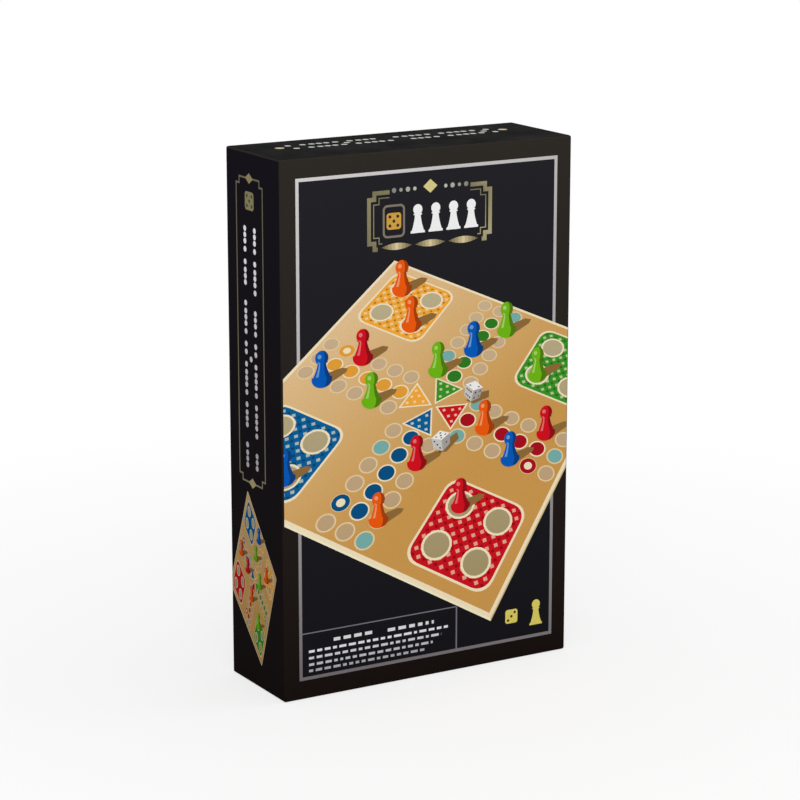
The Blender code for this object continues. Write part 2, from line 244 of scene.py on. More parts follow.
def from_bmesh(name, drawn, material, smooth_angle=None):
    bmesh.ops.recalc_face_normals(drawn, faces=drawn.faces)
    mesh = bpy.data.meshes.new(name)
    drawn.to_mesh(mesh)
    drawn.free()
    if smooth_angle:
        mesh.shade_smooth()
        mesh.set_sharp_from_angle(angle=math.radians(smooth_angle))
    thing = bpy.data.objects.new(name, mesh)
    bpy.context.scene.collection.objects.link(thing)
    mesh.materials.append(material)
    return thing


def rounded(width, height, radius, centre, steps):
    """Points round a rectangle with round corners, anticlockwise from the right."""
    points = []
    for side_u, side_v, turn in ((1, 1, 0), (-1, 1, 1), (-1, -1, 2), (1, -1, 3)):
        for step in range(steps + 1):
            angle = math.pi / 2 * (turn + step / steps)
            points.append((centre[0] + side_u * (width / 2 - radius) + radius * math.cos(angle),
                           centre[1] + side_v * (height / 2 - radius) + radius * math.sin(angle)))
    return points


def disc(centre, radius, sides):
    return [(centre[0] + radius * math.cos(2 * math.pi * i / sides),
             centre[1] + radius * math.sin(2 * math.pi * i / sides))
            for i in range(sides)]


def slab(left, low, right, high):
    return [(left, low), (right, low), (right, high), (left, high)]


def bridge(drawn, rings):
    """Faces from each ring of corners to the next."""
    for ring, following in zip(rings, rings[1:]):
        for i, corner in enumerate(ring):
            j = (i + 1) % len(ring)
            drawn.faces.new((corner, ring[j], following[j], following[i]))


def loft(sections):
    """A closed skin through rings of equal count; each section is points in X, Z and a Y."""
    drawn = bmesh.new()
    rings = [[drawn.verts.new((x, y, z)) for x, z in outline] for outline, y in sections]
    bridge(drawn, rings)
    drawn.faces.new(rings[0])
    drawn.faces.new(list(reversed(rings[-1])))
    return drawn


# Print on flat faces

class Sheet:
    """A flat face with its own axes; heights above it are counted in layers of ink."""

    def __init__(self, origin, across, bounds, up=(0, 0, 1)):
        self.origin = Vector(origin)
        self.across = Vector(across)
        self.up = Vector(up)
        self.outward = self.across.cross(self.up)
        self.bounds = bounds

    def place(self, u, v, layer):
        return self.origin + self.across * u + self.up * v + self.outward * (layer * INK)


def clip(outline, bounds):
    """Cut an outline off at a rectangle, one side at a time."""
    left, low, right, high = bounds
    sides = ((0, left, 1), (0, right, -1), (1, low, 1), (1, high, -1))
    for axis, limit, sense in sides:
        kept = []
        for i, point in enumerate(outline):
            following = outline[(i + 1) % len(outline)]
            inside = (point[axis] - limit) * sense >= 0
            next_inside = (following[axis] - limit) * sense >= 0
            if inside:
                kept.append(point)
            if inside != next_inside:
                share = (limit - point[axis]) / (following[axis] - point[axis])
                kept.append(tuple(a + (b - a) * share for a, b in zip(point, following)))
        outline = kept
        if len(outline) < 3:
            return []
    return tidy(outline)


def tidy(outline):
    """Drop points that fall on the one before."""
    kept = []
    for point in outline:
        if not kept or math.dist(point, kept[-1]) > SAME_PLACE:
            kept.append(point)
    if len(kept) > 1 and math.dist(kept[0], kept[-1]) <= SAME_PLACE:
        kept.pop()
    return kept if len(kept) >= 3 else []


class Print:
    """Collects plates of ink for one sheet and turns them into one mesh."""

    # strength scales every colour of the sheet; below 1 it darkens the print as painted shade.
    def __init__(self, sheet, strength=1.0):
        self.sheet = sheet
        self.strength = strength
        self.drawn = bmesh.new()
        self.ink = self.drawn.verts.layers.float_color.new("ink")

    def plate(self, outline, tone, layer):
        """Tone is a screen colour, or a function of the place that gives one."""
        outline = clip(outline, self.sheet.bounds)
        if not outline:
            return
        top = [self.vertex(point, tone, layer) for point in outline]
        under = [self.vertex(point, tone, 0) for point in outline]
        self.drawn.faces.new(top)
        self.drawn.faces.new(list(reversed(under)))
        for i in range(len(outline)):
            j = (i + 1) % len(outline)
            self.drawn.faces.new((top[i], under[i], under[j], top[j]))

    def vertex(self, point, tone, layer):
        vertex = self.drawn.verts.new(self.sheet.place(*point, layer))
        shade_here = tone(*point) if callable(tone) else tone
        vertex[self.ink] = (*colour(*(self.strength * value for value in shade_here)), 1.0)
        return vertex

    def ribbon(self, points, width, tone, layer, closed=True):
        """A line of even width along a path, its corners mitred."""
        count = len(points)
        sides = []
        for i, point in enumerate(points):
            before = points[i - 1] if closed or i else point
            after = points[(i + 1) % count] if closed or i < count - 1 else point
            leaving = unit(after[0] - point[0], after[1] - point[1])
            arriving = unit(point[0] - before[0], point[1] - before[1]) or leaving
            leaving = leaving or arriving
            along = unit(arriving[0] + leaving[0], arriving[1] + leaving[1])
            reach = width / 2 / max(MITRE_LIMIT, arriving[0] * along[0] + arriving[1] * along[1])
            sides.append(((point[0] - along[1] * reach, point[1] + along[0] * reach),
                          (point[0] + along[1] * reach, point[1] - along[0] * reach)))
        for i in range(count if closed else count - 1):
            j = (i + 1) % count
            self.plate([sides[i][1], sides[j][1], sides[j][0], sides[i][0]], tone, layer)

    def finish(self, name, material, body):
        thing = from_bmesh(name, self.drawn, material)
        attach(thing, body)


def unit(u, v):
    length = math.hypot(u, v)
    return (u / length, v / length) if length > NO_LENGTH else None


CORNERS = ((-1, -1), (1, -1), (1, 1), (-1, 1))


class Warp:
    """Carries a square picture, -1 to 1 each way, onto a four-cornered figure in perspective."""

    def __init__(self, corners):
        rows = []
        values = []
        for (a, b), (u, v) in zip(CORNERS, corners):
            rows.append([a, b, 1, 0, 0, 0, -a * u, -b * u])
            rows.append([0, 0, 0, a, b, 1, -a * v, -b * v])
            values += [u, v]
        self.terms = np.linalg.solve(np.array(rows, float), np.array(values, float))

    def __call__(self, a, b):
        t = self.terms
        scale = t[6] * a + t[7] * b + 1
        return ((t[0] * a + t[1] * b + t[2]) / scale, (t[3] * a + t[4] * b + t[5]) / scale)


def fade(top, low, low_v, high_v, lean=0.0):
    """A tone that runs from one screen colour at the top to another at the bottom, or aslant."""
    def tone(u, v):
        share = min(1.0, max(0.0, (high_v - v + lean * u) / (high_v - low_v)))
        return mix(top, low, share)
    return tone


# The race board, a cross-shaped track of circles between four yards

CELL = 1 / 7.7
ARM_START = 2
ARM_END = 7
GROUND_CELLS = 8
RIM_SHARE = 0.014
SAFE_EVERY = 6
STATION_SHARES = (0.43, 0.36)
HOME_SHARES = (0.44, 0.37)
START_SHARES = (0.4, 0.2)
STATION_EDGE = mix(CREAM, TAN_LIGHT, 0.45)
HOME_SHADE = (10, 10, 20)
HOME_SHADE_SHARES = (0.18, 0.06, 0.18, 0.18)


def track_places():
    """The stations in order round the cross, three lanes wide without the home columns."""
    arm = [(near, far) for far in range(ARM_START, ARM_END + 1) for near in (-1, 1)]
    arm.append((0, ARM_END))
    places = {turned(a, b, quarter) for a, b in arm for quarter in range(4)}
    return sorted(places, key=lambda place: (math.atan2(place[1], place[0]), place))


def turned(a, b, quarters):
    for _ in range(quarters % 4):
        a, b = -b, a
    return a, b


def draw_ground(put, ground, rim):
    """The board's ground in square cells, so that its tone can run, inside a light rim."""
    step = 2 / GROUND_CELLS
    for row in range(GROUND_CELLS):
        for column in range(GROUND_CELLS):
            left = -1 + column * step
            low = -1 + row * step
            put(slab(left, low, left + step, low + step), ground, 1)
    inner = 1 - rim
    strip = ((-1, -1), (1, -1), (inner, -inner), (-inner, -inner))
    for quarter in range(4):
        put([turned(a, b, quarter) for a, b in strip], CREAM, 2)


def race_board(ink, warp, base_layer, sides, fine=True, rim=RIM_SHARE, ground=None):
    """Draw the board's ground, track, home columns, yards and middle through a warp."""
    heights = [warp(a, b)[1] for a, b in CORNERS]
    span = (min(heights), max(heights))
    station = fade(*TRACK_RUN, *span)
    waiting = fade(*YARD_RUN, *span)

    def put(outline, tone, layer):
        ink.plate([warp(a, b) for a, b in outline], tone, base_layer + layer)

    def spot(a, b, shares, tones, layer):
        for step in (0, 1):
            put(disc((a, b), shares[step] * CELL, sides), tones[step], layer + step)

    draw_ground(put, ground or fade(TAN_LIGHT, TAN_DEEP, *span), rim)
    for number, (a, b) in enumerate(track_places()):
        tone = SAFE_DOT if number % SAFE_EVERY == 1 else station
        spot(a * CELL, b * CELL, STATION_SHARES, (STATION_EDGE, tone), 2)
    for quarter, (tone, share) in enumerate(zip(YARDS, HOME_SHADE_SHARES)):
        deep = mix(tone, HOME_SHADE, share)
        yard(put, quarter, tone, waiting, sides, fine)
        for far in range(ARM_START, ARM_END):
            spot(*turned(0, far * CELL, quarter), HOME_SHARES, (CREAM, deep), 2)
        spot(*turned(CELL, (ARM_END - 1) * CELL, quarter), START_SHARES, (deep, CREAM), 4)
        middle(put, quarter, tone, fine)


INNER_SHARE = 0.84
WEDGE_MIDDLE = 1.03
WEDGE_TIP = 0.93
WEDGE_BACK = 0.5
WEDGE_HALF = 0.86
WEDGE_MARKS = ((0, 0.62), (-0.2, 1.0), (0.2, 1.0), (0, 1.3), (-0.4, 1.3), (0.4, 1.3))
WEDGE_MARK_REACH = 0.095


def middle(put, quarter, tone, fine):
    """One of the four wedges that meet in the middle, with small lozenges on it."""
    for share, shade_here, layer in ((1.0, CREAM, 4), (INNER_SHARE, tone, 5)):
        back = WEDGE_MIDDLE + WEDGE_BACK * share
        wedge = ((0, WEDGE_MIDDLE - WEDGE_TIP * share), (WEDGE_HALF * share, back),
                 (-WEDGE_HALF * share, back))
        put([turned(x * CELL, y * CELL, quarter) for x, y in wedge], shade_here, layer)
    if fine:
        for x, y in WEDGE_MARKS:
            put(lozenge(turned(x * CELL, y * CELL, quarter), WEDGE_MARK_REACH * CELL),
                mix(tone, CREAM, 0.8), 6)


def lozenge(centre, reach, rise=None):
    u, v = centre
    rise = rise or reach
    return [(u + reach, v), (u, v + rise), (u - reach, v), (u, v - rise)]


YARD_PLACE = 0.647
YARD_SIZE = 0.54
YARD_INNER_SHARE = 0.95
YARD_CORNER_SHARE = 0.16
WAITING_PLACE = 0.129
WAITING_RING = 0.087
LATTICE_SHARE = 0.9
LATTICE_COUNT = 13
LATTICE_GAP = 0.88 * WAITING_RING
LATTICE_SHADE = (20, 0, 10)
SMALL_LOZENGE_SHARE = 0.3
LARGE_LOZENGE_SHARE = 0.4


def yard(put, quarter, tone, waiting, sides, fine):
    """A corner yard: a coloured square with a light edge, a lattice and four waiting rings."""
    centre = turned(YARD_PLACE, YARD_PLACE, quarter)
    for share, shade_here, layer in ((1.0, CREAM, 2), (YARD_INNER_SHARE, tone, 3)):
        size = YARD_SIZE * share
        put(rounded(size, size, YARD_CORNER_SHARE * size, centre, 5), shade_here, layer)
    if fine:
        lattice(put, centre, tone)
    for a, b in CORNERS:
        place = (centre[0] + a * WAITING_PLACE, centre[1] + b * WAITING_PLACE)
        put(disc(place, WAITING_RING, sides), CREAM, 6)
        put(disc(place, INNER_SHARE * WAITING_RING, sides), waiting, 7)


def lattice(put, centre, tone):
    """Rows of lozenges, small and large by turns, left out where the waiting rings stand."""
    step = YARD_SIZE * LATTICE_SHARE / LATTICE_COUNT
    kinds = ((SMALL_LOZENGE_SHARE * step, mix(tone, LATTICE_SHADE, 0.3)),
             (LARGE_LOZENGE_SHARE * step, mix(tone, CREAM, 0.7)))
    half = (LATTICE_COUNT - 1) / 2
    for row in range(LATTICE_COUNT):
        for column in range(LATTICE_COUNT):
            a = (column - half) * step
            b = (row - half) * step
            if math.dist((abs(a), abs(b)), (WAITING_PLACE, WAITING_PLACE)) < LATTICE_GAP:
                continue
            reach, shade_here = kinds[(row + column) % 2]
            put(lozenge((centre[0] + a, centre[1] + b), reach), shade_here, 4)


# Pawns and dice as they are drawn in the pictures

PAWN_BASE_SHARE = 8 / 28
PAWN_FOOT_SHARE = 2.6 / 28
PAWN_WAIST_SHARE = 3.3 / 28
PAWN_HEAD_SHARE = 5.1 / 28
PAWN_COLLAR_SHARE = 1.6 / 28
PAWN_FLARE_POWER = 1.6
COLLAR_REACH_SHARE = 0.9
FOOT_TUCK_SHARE = 0.2
FOOT_STEPS = 8
FLARE_STEPS = 12
COLLAR_STEPS = 6
HEAD_STEPS = 15
SEEN_FROM = 6
LEAST_RISE = 0.002


def pawn_profile(radius, height):
    """Radius and height up a turned pawn, worked into smooth runs."""
    foot = PAWN_FOOT_SHARE * height
    head = PAWN_HEAD_SHARE * height
    waist = PAWN_WAIST_SHARE * height
    collar = PAWN_COLLAR_SHARE * height
    drop = math.sqrt(head ** 2 - waist ** 2)
    neck = height - head - drop
    start = radius - foot / 2
    points = [(radius - FOOT_TUCK_SHARE * foot, 0.0)]
    for step in range(FOOT_STEPS + 1):
        angle = math.pi * (step / FOOT_STEPS - 0.5)
        points.append((start + foot / 2 * math.cos(angle), foot / 2 + foot / 2 * math.sin(angle)))
    for step in range(1, FLARE_STEPS + 1):
        share = step / FLARE_STEPS
        points.append((waist + (start - waist) * (1 - share) ** PAWN_FLARE_POWER,
                       foot + (neck - collar - foot) * share))
    for step in range(1, COLLAR_STEPS):
        angle = math.pi * (step / COLLAR_STEPS - 0.5)
        points.append((waist + COLLAR_REACH_SHARE * collar * math.cos(angle),
                       neck - collar / 2 + collar / 2 * math.sin(angle)))
    begin = math.asin(-drop / head)
    for step in range(HEAD_STEPS):
        angle = begin + (math.pi / 2 - begin) * step / HEAD_STEPS
        points.append((head * math.cos(angle), height - head + head * math.sin(angle)))
    return points


def seen_pawn(tilt):
    """The right half of a pawn's outline, seen from above at a tilt, with its height as 1."""
    rise = math.cos(tilt)
    crown = 1 - PAWN_HEAD_SHARE
    neck = crown - math.sqrt(PAWN_HEAD_SHARE ** 2 - PAWN_WAIST_SHARE ** 2)
    half = []
    for step in range(7):
        angle = math.pi / 2 * (step / 6 - 1)
        half.append((PAWN_BASE_SHARE * math.cos(angle),
                     PAWN_BASE_SHARE * math.sin(tilt) * math.sin(angle)))
    for radius, up in pawn_profile(PAWN_BASE_SHARE, 1.0)[SEEN_FROM:] + [(0.0, 1.0)]:
        height = up * rise if up < neck else crown * rise + up - crown
        if height > half[-1][1] + LEAST_RISE:
            half.append((radius, height))
    size = half[-1][1] - half[0][1]
    return [(across / size, up / size) for across, up in half]


def mirrored(half):
    return half + [(-x, y) for x, y in reversed(half[1:-1])]


TILTED_PAWN = seen_pawn(math.radians(50))
UPRIGHT_PAWN = seen_pawn(0.0)
FLANK_RUN = TILTED_PAWN[2:-2]
LIT_RUN = TILTED_PAWN[9:-14]
PAWN_CAST = ((-0.1, -0.12), (0.3, -0.1), (0.72, 0.1), (0.78, 0.2), (0.6, 0.24), (0.05, 0.12))
CAST_SHADE = (60, 44, 30)
FLANK_SHADE = (24, 12, 12)
GLINT = (255, 250, 235)
GLINT_AT = (-0.07, TILTED_PAWN[-1][1] - 0.16)
GLINT_SHARE = 0.06


def drawn_pawn(ink, foot, height, tone, layer):
    """A small standing pawn: cast shadow, body, shaded flank, lit flank and glint."""
    def put(points, shade_here, level):
        ink.plate([(foot[0] + x * height, foot[1] + y * height) for x, y in points],
                  shade_here, layer + level)

    def strip(run, outer, inner):
        return [(outer * x, y) for x, y in run] + [(inner * x, y) for x, y in reversed(run)]

    light = mix(tone, GLINT, 0.42)
    put(PAWN_CAST, mix(TAN_DEEP, CAST_SHADE, 0.42), 0)
    put(mirrored(TILTED_PAWN), tone, 1)
    put(strip(FLANK_RUN, 1, 0.45), mix(tone, FLANK_SHADE, 0.34), 2)
    put(strip(LIT_RUN, -0.7, -0.4), light, 2)
    put(disc(GLINT_AT, GLINT_SHARE, 8), light, 3)


DIE_CAST = ((-0.3, -0.85), (0.3, -0.95), (1.25, -0.35), (1.15, 0.05), (0.5, -0.2))
DIE_FACES = ((((-0.62, 0.1), (0.05, -0.16), (0.66, 0.14), (0.0, 0.44)), (246, 244, 240)),
             (((-0.62, 0.1), (-0.56, -0.56), (0.06, -0.86), (0.05, -0.16)), (206, 204, 200)),
             (((0.05, -0.16), (0.06, -0.86), (0.6, -0.5), (0.66, 0.14)), (168, 164, 160)))
DARK_PIP = (34, 30, 32)
SEEN_PIP_PLACE = 0.5
SEEN_PIP_RADIUS = 0.17


def drawn_die(ink, centre, size, lean, layer, values):
    """A small die seen from above one edge: light top, two shaded sides, dark pips."""
    u, v = centre
    cosine, sine = math.cos(lean), math.sin(lean)

    def turn(points):
        return [(u + size * (x * cosine - y * sine), v + size * (x * sine + y * cosine))
                for x, y in points]

    ink.plate(turn(DIE_CAST), mix(TAN_DEEP, CAST_SHADE, 0.45), layer)
    for (outline, tone), value in zip(DIE_FACES, values):
        ink.plate(turn(outline), tone, layer + 1)
        face = Warp(turn(outline))
        for a, b in PIPS[value]:
            pip = disc((a * SEEN_PIP_PLACE, b * SEEN_PIP_PLACE), SEEN_PIP_RADIUS, 8)
            ink.plate([face(x, y) for x, y in pip], DARK_PIP, layer + 2)


PIPS = {1: ((0, 0),), 2: ((-1, -1), (1, 1)), 3: ((-1, -1), (0, 0), (1, 1)),
        4: ((-1, -1), (-1, 1), (1, -1), (1, 1)),
        5: ((-1, -1), (-1, 1), (0, 0), (1, -1), (1, 1)),
        6: ((-1, -1), (-1, 0), (-1, 1), (1, -1), (1, 0), (1, 1))}


FLAT_CORNER_SHARE = 0.18
FLAT_PLACE_SHARE = 0.27
FLAT_PIP_SHARE = 0.1


def flat_die(ink, centre, size, tone, pip_tone, value):
    """A die's face seen square on."""
    ink.plate(rounded(size, size, FLAT_CORNER_SHARE * size, centre, 4), tone, 3)
    step = FLAT_PLACE_SHARE * size
    for a, b in PIPS[value]:
        place = (centre[0] + a * step, centre[1] + b * step)
        ink.plate(disc(place, FLAT_PIP_SHARE * size, 10), pip_tone, 4)


def plain_pawn(ink, foot, height, tone):
    ink.plate([(foot[0] + x * height, foot[1] + y * height) for x, y in mirrored(UPRIGHT_PAWN)],
              tone, 3)


SHORTEST_SHARE = 0.35
BAR_GAP_SHARE = 1.1


def ruled_bars(ink, left, right, v, thickness, tone, layer, seed, longest):
    """A row of plain short bars of uneven length."""
    chance = random.Random(seed)
    u = left
    while u < right:
        stop = min(u + chance.uniform(SHORTEST_SHARE, 1.0) * longest, right)
        ink.plate(slab(u, v - thickness / 2, stop, v + thickness / 2), tone, layer)
        u = stop + thickness * BAR_GAP_SHARE


def notched(width, height, notch, centre):
    """An outline with square steps taken out of its four corners."""
    points = []
    for side_u, side_v, first in ((1, 1, 0), (-1, 1, 1), (-1, -1, 0), (1, -1, 1)):
        outer_u = centre[0] + side_u * width / 2
        outer_v = centre[1] + side_v * height / 2
        step_u = outer_u - side_u * notch
        step_v = outer_v - side_v * notch
        corner = [(outer_u, step_v), (step_u, step_v), (step_u, outer_v)]
        points += corner if first == 0 else list(reversed(corner))
    return points


# The printed faces of the lid

EDGE = 1.0 * MM
RIM_HEM = 0.6 * MM
FRAME_SIDE = 9.5 * MM
FRAME_LOW = 10.8 * MM
FRAME_TOP = 10.5 * MM
FRAME_LINE = 1.7 * MM


def lid_sheet(face):
    """The lid's front, top or one of its long sides, with its own axes."""
    left, right = LID_LOW.x + EDGE, LID_HIGH.x - EDGE
    low, high = LID_LOW.z + EDGE, LID_HIGH.z - EDGE
    front, rim = LID_LOW.y + EDGE, LID_HIGH.y - RIM_HEM
    if face == "front":
        return Sheet((0, LID_LOW.y + SKIN, 0), (1, 0, 0), (left, low, right, high))
    if face == "top":
        return Sheet((0, 0, LID_HIGH.z - SKIN), (1, 0, 0), (left, front, right, rim), (0, 1, 0))
    if face == "spine":
        return Sheet((LID_LOW.x + SKIN, 0, 0), (0, -1, 0), (-rim, low, -front, high))
    return Sheet((LID_HIGH.x - SKIN, 0, 0), (0, 1, 0), (front, low, rim, high))


def frame_line_painted_sheen(u, v):
    """The frame line is painted bright at the top left and dull at the foot: a painted reflection,
    as silver ink would catch the light.
    """
    height_share = min(1.0, max(0.0, v / HEIGHT))
    side_share = (u - LID_LOW.x) / WIDTH
    bright = mix((112, 106, 110), (226, 222, 222), height_share)
    return mix(bright, (150, 146, 148), 0.35 * side_share)


def draw_front():
    ink = Print(lid_sheet("front"))
    left, right = LID_LOW.x + FRAME_SIDE, LID_HIGH.x - FRAME_SIDE
    low, high = FRAME_LOW, HEIGHT - FRAME_TOP
    panel = slab(left, low, right, high)
    # Painted light and shade: the panel's black runs from lighter at the top to darker at the
    # foot.
    ink.plate(panel, fade(*BLACK_LIT_TO_SHADED, low, high), 1)
    ink.ribbon(panel, FRAME_LINE, frame_line_painted_sheen, 2)
    draw_crest(ink)
    draw_front_board(ink)
    draw_foot_panel(ink)
    ink.finish("front_print", PRINT, "lid")
    foil = Print(lid_sheet("front"))
    draw_front_foil(foil)
    foil.finish("front_foil", GOLD_FOIL, "lid")


CREST_CENTRE = mm(0.3, 236)
CREST_WIDTH, CREST_HEIGHT = mm(69, 27.5)
CREST_TOP = 250.4 * MM
CREST_LIFT = 0.6 * MM
FRAMED_DIE = mm(-20.3, 235.4)
FOOT_GOLD = (222, 208, 96)
FOIL_WAVES = (130, 210)


def draw_crest(ink):
    """Four plain white pawns in a row, a grey frame for the die beside them, and rows of dots."""
    first, foot, pitch, height = mm(-6.8, 228.4, 10.2, 14.2)
    for number in range(4):
        plain_pawn(ink, (first + number * pitch, foot), height, (250, 250, 250))
    width, height, corner, line = mm(11.4, 15.2, 2.0, 1.1)
    ink.ribbon(rounded(width, height, corner, FRAMED_DIE, 4), line, (132, 124, 110), 3)
    start, pitch, *radii = mm(8.8, 3.9, 0.95, 1.25)
    for side in (-1, 1):
        for number in range(4):
            place = (CREST_CENTRE[0] + side * (start + pitch * number), CREST_TOP)
            tone = mix((196, 196, 182), (104, 106, 98), number / 5)
            ink.plate(disc(place, radii[number % 2], 12), tone, 3)


def foil_painted_sheen(u, v):
    """Gold whose colour carries a painted sheen, brightening and dimming in waves along its
    length, under the foil's own gloss.
    """
    wave = 0.5 + 0.5 * math.sin(u * FOIL_WAVES[0] + v * FOIL_WAVES[1])
    return mix((126, 120, 88), (182, 172, 130), wave)


def draw_front_foil(foil):
    """The crest's brackets, lozenge, streaks and die, and a small die and pawn at the foot."""
    for side in (-1, 1):
        for inset, width in (mm(0, 2.1), mm(2.6, 0.5)):
            foil.ribbon(bracket(side, inset), width, foil_painted_sheen, 3, closed=False)
    u = CREST_CENTRE[0]
    foot = CREST_CENTRE[1] - CREST_HEIGHT / 2 + CREST_LIFT
    for shift in mm(-19, 0, 19):
        draw_streak(foil, (u + shift, foot), *mm(8.6, 1.7))
    foil.plate(lozenge((u, CREST_TOP + CREST_LIFT), *mm(4, 3.4)), (226, 212, 140), 3)
    framed_size, foot_size, pawn_height = mm(8.2, 7.4, 13.5)
    flat_die(foil, FRAMED_DIE, framed_size, (214, 164, 62), (40, 32, 22), 5)
    flat_die(foil, mm(49.6, 23.4), foot_size, FOOT_GOLD, (34, 30, 20), 3)
    plain_pawn(foil, mm(64.6, 16.6), pawn_height, FOOT_GOLD)


def bracket(side, inset):
    """One end of the crest's outline, with square steps for corners, open above and below."""
    gap, notch, tail = mm(46, 3.0, 4.8)
    low = CREST_CENTRE[1] - CREST_HEIGHT / 2 + inset
    high = CREST_CENTRE[1] + CREST_HEIGHT / 2 - inset
    outer = CREST_WIDTH / 2 - inset
    step = outer - notch
    path = ((gap / 2, high), (step, high), (step, high - notch), (outer, high - notch),
            (outer, low + notch), (step, low + notch), (step, low), (outer - tail, low))
    return [(CREST_CENTRE[0] + side * across, up) for across, up in path]


def draw_streak(foil, centre, reach, rise):
    """A long lens of foil, palest in the middle."""
    parts = 9
    for part in range(parts):
        shares = [2 * (part + step) / parts - 1 for step in (0, 1)]
        (left, low), (right, high) = [(centre[0] + share * reach, rise * (1 - share ** 2))
                                      for share in shares]
        tone = mix((222, 206, 160), (104, 92, 60), abs(sum(shares)) / 2)
        foil.plate([(left, centre[1] - low), (right, centre[1] - high),
                    (right, centre[1] + high), (left, centre[1] + low)], tone, 4)


BOARD_TOP = mm(-20, 216)
BOARD_RIGHT = mm(116, 157)
BOARD_FOOT = mm(37, 24.5)
BOARD_LEFT = mm(-133, 121)
PICTURE_LAYER = 11
PICTURE_PAWNS = (((-4, 4), "orange"), ((-6, 6), "orange"), ((-1, 2), "green"),
                 ((0, 4), "blue"), ((4, 4), "green"), ((6, 1), "red"), ((3, 0), "orange"),
                 ((1, 6), "green"), ((-6, -1), "blue"), ((-5, 1), "red"), ((-3, -1), "green"),
                 ((-4, -6), "blue"), ((1, -3), "red"), ((4, -4), "red"),
                 ((1, -6), "orange"), ((5, -1), "blue"))
PICTURE_DICE = (((1.3, -1.4), 8.4 * MM, 0.12, (5, 3, 1)), ((1.3, 1.8), 8.2 * MM, -0.3, (2, 6, 4)))


def draw_front_board(ink):
    """The game set out in perspective, cut off by the panel's edges."""
    warp = Warp((BOARD_LEFT, BOARD_FOOT, BOARD_RIGHT, BOARD_TOP))
    thickness, pawn_height, fade_low, fade_high = mm(1.6, 18.5, 101, 226)
    for (u0, v0), (u1, v1), tone in ((BOARD_LEFT, BOARD_FOOT, (250, 240, 205)),
                                     (BOARD_FOOT, BOARD_RIGHT, (214, 192, 140))):
        ink.plate([(u0, v0), (u0, v0 - thickness), (u1, v1 - thickness), (u1, v1)], tone, 3)
    ground = fade(TAN_PALE, TAN_DEEP, fade_low, fade_high, 0.6)
    race_board(ink, warp, 3, 18, rim=0.02, ground=ground)
    standing = [(warp(a * CELL, b * CELL), PAWN_TONES[tint]) for (a, b), tint in PICTURE_PAWNS]
    for foot, tone in sorted(standing, key=lambda entry: -entry[0][1]):
        drawn_pawn(ink, foot, pawn_height, tone, PICTURE_LAYER)
    for (a, b), size, lean, values in PICTURE_DICE:
        drawn_die(ink, warp(a * CELL, b * CELL), size, lean, PICTURE_LAYER, values)


def draw_foot_panel(ink):
    """A thin-lined panel with rows of plain bars."""
    right, high, rule, upright = mm(16.4, 34, 0.6, 0.8)
    left, low = LID_LOW.x + FRAME_SIDE, FRAME_LOW
    ink.plate(slab(left, high - rule / 2, right, high + rule / 2), (120, 116, 128), 3)
    ink.plate(slab(right - upright / 2, low, right + upright / 2, high), (120, 116, 128), 3)
    margin, end, stagger = mm(4.5, 4, 5)
    left += margin
    thickness, longest = mm(1.7, 5)
    for seed, (start, stop, v) in enumerate((mm(14, 36, 28.6), mm(45, 72, 28.2)), 5):
        ruled_bars(ink, left + start, left + stop, v, thickness, (226, 226, 230), 3, seed, longest)
    thickness, longest = mm(1.3, 4.5)
    for row, (v, shine) in enumerate(zip(mm(24.4, 21.0, 17.6, 14.4), (232, 212, 196, 176))):
        ruled_bars(ink, left, right - end - stagger * row, v, thickness,
                   (shine, shine, shine + 6), 3, 10 + row, longest)


# Long sides and top

SPINE_VALUES = (6, 4, 6, 2, 6, 4, 5)
SPINE_BOARD = (mm(-9, 100), mm(-29, 47), mm(4, 12.5), mm(20.5, 62))
TOP_VALUES = (4, 6, 5, 6, 2, 6, 4, 6, 5)


def draw_side(face):
    """A long side: a ruled column of pips in a gold outline over a small picture of the board."""
    sheet = lid_sheet(face)
    ink = Print(sheet)
    low, high = sheet.bounds[1], sheet.bounds[3]
    # Painted light and shade: the side's ground runs from lighter at the top to darker at the
    # foot.
    ink.plate(slab(*sheet.bounds), fade(*SPINE_LIT_TO_SHADED, low, high), 1)
    u, first, pitch, across, up, radius = mm(-3.4, 229, 10.2, 5.0, 3.1, 1.45)
    rows = 12
    for row in range(rows):
        tone = mix((250, 248, 250), (176, 174, 176), row / (rows - 1))
        for a, b in PIPS[SPINE_VALUES[row % len(SPINE_VALUES)]]:
            place = (u + a * across, first - row * pitch + b * up)
            ink.plate(disc(place, radius, 12), tone, 2)
    # The small picture is printed at 0.84 of its colours: painted shade, as the long sides stand
    # in shadow.
    picture = Print(sheet, 0.84)
    warp = Warp(SPINE_BOARD)
    race_board(picture, warp, 2, 12, fine=False)
    for (a, b), tint in PICTURE_PAWNS[::2]:
        drawn_pawn(picture, warp(a * CELL, b * CELL), 8.5 * MM, PAWN_TONES[tint], 10)
    picture.finish(f"{face}_picture", PRINT, "lid")
    ink.finish(f"{face}_print", PRINT, "lid")
    foil = Print(sheet)
    width, height, notch, middle_v, line = mm(27, 152, 3.2, 181, 0.9)
    foil.ribbon(notched(width, height, notch, (u, middle_v)), line, (104, 98, 66), 3)
    die_v, size = mm(246, 9)
    flat_die(foil, (u, die_v), size, (140, 130, 78), (30, 27, 20), 5)
    for v in mm(257, 105):
        foil.plate(lozenge((u, v), *mm(4, 2.6)), (150, 138, 88), 4)
    foil.finish(f"{face}_foil", GOLD_FOIL, "lid")


